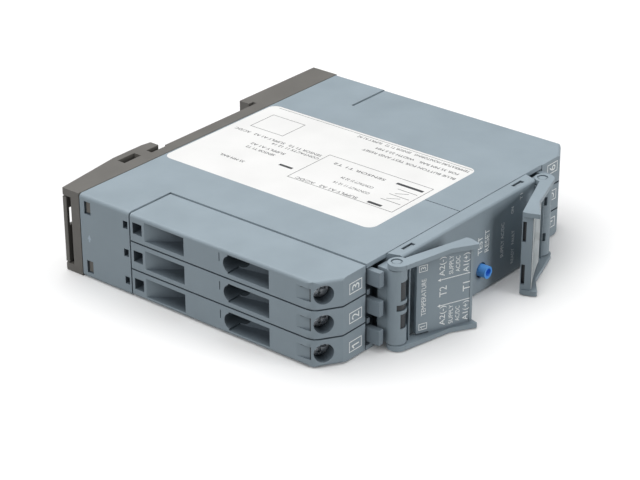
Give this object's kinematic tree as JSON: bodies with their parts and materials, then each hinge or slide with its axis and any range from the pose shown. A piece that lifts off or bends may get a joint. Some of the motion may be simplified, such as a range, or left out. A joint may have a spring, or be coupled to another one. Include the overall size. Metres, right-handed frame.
{
  "type": "temperature monitoring relay",
  "caption": "Slim plastic relay for rail mounting that monitors temperature, with plug-in screw terminal blocks, hinged front flaps, a test button and a sprung rail latch.",
  "frame": {"origin": "middle of the broad side that the relay lies on, at the middle of its height and of its depth with the flaps shut", "axes": "+X along the height from the upper end to the lower end, +Y from the front to the rail foot, +Z across the width, up as it lies"},
  "size_m": [0.1, 0.1019, 0.0225],
  "materials": {
    "moulded_grey_blue": "light blue-grey moulded polyamide, fine matt grain",
    "moulded_brown_grey": "brown-grey moulded polyamide, matt",
    "printed_film": "white printed film, satin",
    "button_blue": "bright blue moulded plastic",
    "zinc_steel": "zinc plated",
    "tinned_brass": "tin plated",
    "board_laminate": "green solder resist",
    "black_plastic": "black moulded plastic",
    "clear_acrylic": "clear moulded acrylic",
    "lamp_resin": "clear lamp resin",
    "ferrite": "dark grey ferrite",
    "winding_tape": "yellow tape over copper winding",
    "capacitor_sleeve": "dark blue shrink sleeve",
    "capacitor_case": "ochre cast case",
    "varistor_lacquer": "blue lacquer"
  },
  "bodies": {
    "relay_body": {"housing": "moulded_grey_blue", "front_cap": "moulded_grey_blue", "upper_release_comb": "moulded_grey_blue", "lower_release_comb": "moulded_grey_blue", "rail_base": "moulded_brown_grey", "side_label": "printed_film", "latch_spring": "zinc_steel", "upper_plug_pins": "tinned_brass", "lower_plug_pins": "tinned_brass", "main_board": "board_laminate", "front_board": "board_laminate", "upper_plug_header": "black_plastic", "lower_plug_header": "black_plastic", "test_switch": "black_plastic", "control_chip": "black_plastic", "output_relay": "black_plastic", "ready_light_guide": "clear_acrylic", "trip_light_guide": "clear_acrylic", "ready_lamp": "lamp_resin", "trip_lamp": "lamp_resin", "transformer_core": "ferrite", "transformer_winding": "winding_tape", "bulk_capacitor": "capacitor_sleeve", "filter_capacitor": "capacitor_case", "varistor": "varistor_lacquer"},
    "upper_terminal": {"upper_terminal_block": "moulded_grey_blue", "contact_bar_1": "tinned_brass", "contact_bar_2": "tinned_brass", "contact_bar_3": "tinned_brass"},
    "lower_terminal": {"lower_terminal_block": "moulded_grey_blue", "contact_bar_4": "tinned_brass", "contact_bar_5": "tinned_brass", "contact_bar_6": "tinned_brass"},
    "upper_flap": {"upper_flap": "moulded_grey_blue"},
    "lower_flap": {"lower_flap": "moulded_grey_blue"},
    "test_button": {"test_button": "button_blue", "switch_plunger": "black_plastic"},
    "rail_latch": {"rail_latch": "moulded_brown_grey"},
    "clamp_screw_1": {"clamp_screw_1": "zinc_steel"},
    "clamp_cage_1": {"clamp_cage_1": "zinc_steel"},
    "clamp_screw_2": {"clamp_screw_2": "zinc_steel"},
    "clamp_cage_2": {"clamp_cage_2": "zinc_steel"},
    "clamp_screw_3": {"clamp_screw_3": "zinc_steel"},
    "clamp_cage_3": {"clamp_cage_3": "zinc_steel"},
    "clamp_screw_4": {"clamp_screw_4": "zinc_steel"},
    "clamp_cage_4": {"clamp_cage_4": "zinc_steel"},
    "clamp_screw_5": {"clamp_screw_5": "zinc_steel"},
    "clamp_cage_5": {"clamp_cage_5": "zinc_steel"},
    "clamp_screw_6": {"clamp_screw_6": "zinc_steel"},
    "clamp_cage_6": {"clamp_cage_6": "zinc_steel"}
  },
  "joints": [
    {"name": "upper_terminal_pull", "type": "slide", "parent": "relay_body", "child": "upper_terminal", "axis": [0, -1, 0], "range_m": [0, 0.008]},
    {"name": "lower_terminal_pull", "type": "slide", "parent": "relay_body", "child": "lower_terminal", "axis": [0, -1, 0], "range_m": [0, 0.008]},
    {"name": "upper_flap_swing", "type": "hinge", "parent": "relay_body", "child": "upper_flap", "pos_m": [-0.0296, -0.0454, 0.01125], "axis": [0, 0, -1], "range_deg": [-15, 85]},
    {"name": "lower_flap_swing", "type": "hinge", "parent": "relay_body", "child": "lower_flap", "pos_m": [0.0296, -0.0454, 0.01125], "axis": [0, 0, 1], "range_deg": [-21.5, 78.5]},
    {"name": "test_button_push", "type": "slide", "parent": "relay_body", "child": "test_button", "axis": [0, 1, 0], "range_m": [0, 0.001], "stiffness_N_per_m": 2000},
    {"name": "rail_latch_pull", "type": "slide", "parent": "relay_body", "child": "rail_latch", "axis": [-1, 0, 0], "range_m": [0, 0.003], "stiffness_N_per_m": 3000, "deforming": ["latch_spring"]},
    {"name": "clamp_screw_1_turn", "type": "hinge", "parent": "upper_terminal", "child": "clamp_screw_1", "pos_m": [-0.04767, -0.03876, 0.00375], "axis": [0.5325, 0.8465, 0], "range_deg": [0, 1160]},
    {"name": "clamp_cage_1_lift", "type": "slide", "parent": "upper_terminal", "child": "clamp_cage_1", "axis": [-0.5325, -0.8465, 0], "range_m": [0, 0.0016]},
    {"name": "clamp_screw_2_turn", "type": "hinge", "parent": "upper_terminal", "child": "clamp_screw_2", "pos_m": [-0.04767, -0.03876, 0.01125], "axis": [0.5325, 0.8465, 0], "range_deg": [0, 1160]},
    {"name": "clamp_cage_2_lift", "type": "slide", "parent": "upper_terminal", "child": "clamp_cage_2", "axis": [-0.5325, -0.8465, 0], "range_m": [0, 0.0016]},
    {"name": "clamp_screw_3_turn", "type": "hinge", "parent": "upper_terminal", "child": "clamp_screw_3", "pos_m": [-0.04767, -0.03876, 0.01875], "axis": [0.5325, 0.8465, 0], "range_deg": [0, 1160]},
    {"name": "clamp_cage_3_lift", "type": "slide", "parent": "upper_terminal", "child": "clamp_cage_3", "axis": [-0.5325, -0.8465, 0], "range_m": [0, 0.0016]},
    {"name": "clamp_screw_4_turn", "type": "hinge", "parent": "lower_terminal", "child": "clamp_screw_4", "pos_m": [0.04767, -0.03876, 0.00375], "axis": [-0.5325, 0.8465, 0], "range_deg": [0, 1160]},
    {"name": "clamp_cage_4_lift", "type": "slide", "parent": "lower_terminal", "child": "clamp_cage_4", "axis": [0.5325, -0.8465, 0], "range_m": [0, 0.0016]},
    {"name": "clamp_screw_5_turn", "type": "hinge", "parent": "lower_terminal", "child": "clamp_screw_5", "pos_m": [0.04767, -0.03876, 0.01125], "axis": [-0.5325, 0.8465, 0], "range_deg": [0, 1160]},
    {"name": "clamp_cage_5_lift", "type": "slide", "parent": "lower_terminal", "child": "clamp_cage_5", "axis": [0.5325, -0.8465, 0], "range_m": [0, 0.0016]},
    {"name": "clamp_screw_6_turn", "type": "hinge", "parent": "lower_terminal", "child": "clamp_screw_6", "pos_m": [0.04767, -0.03876, 0.01875], "axis": [-0.5325, 0.8465, 0], "range_deg": [0, 1160]},
    {"name": "clamp_cage_6_lift", "type": "slide", "parent": "lower_terminal", "child": "clamp_cage_6", "axis": [0.5325, -0.8465, 0], "range_m": [0, 0.0016]}
  ],
  "couplings": [
    {"joint": "clamp_screw_1_turn", "follows": "clamp_cage_1_lift", "rad_per_m": 12566},
    {"joint": "clamp_screw_2_turn", "follows": "clamp_cage_2_lift", "rad_per_m": 12566},
    {"joint": "clamp_screw_3_turn", "follows": "clamp_cage_3_lift", "rad_per_m": 12566},
    {"joint": "clamp_screw_4_turn", "follows": "clamp_cage_4_lift", "rad_per_m": 12566},
    {"joint": "clamp_screw_5_turn", "follows": "clamp_cage_5_lift", "rad_per_m": 12566},
    {"joint": "clamp_screw_6_turn", "follows": "clamp_cage_6_lift", "rad_per_m": 12566}
  ]
}
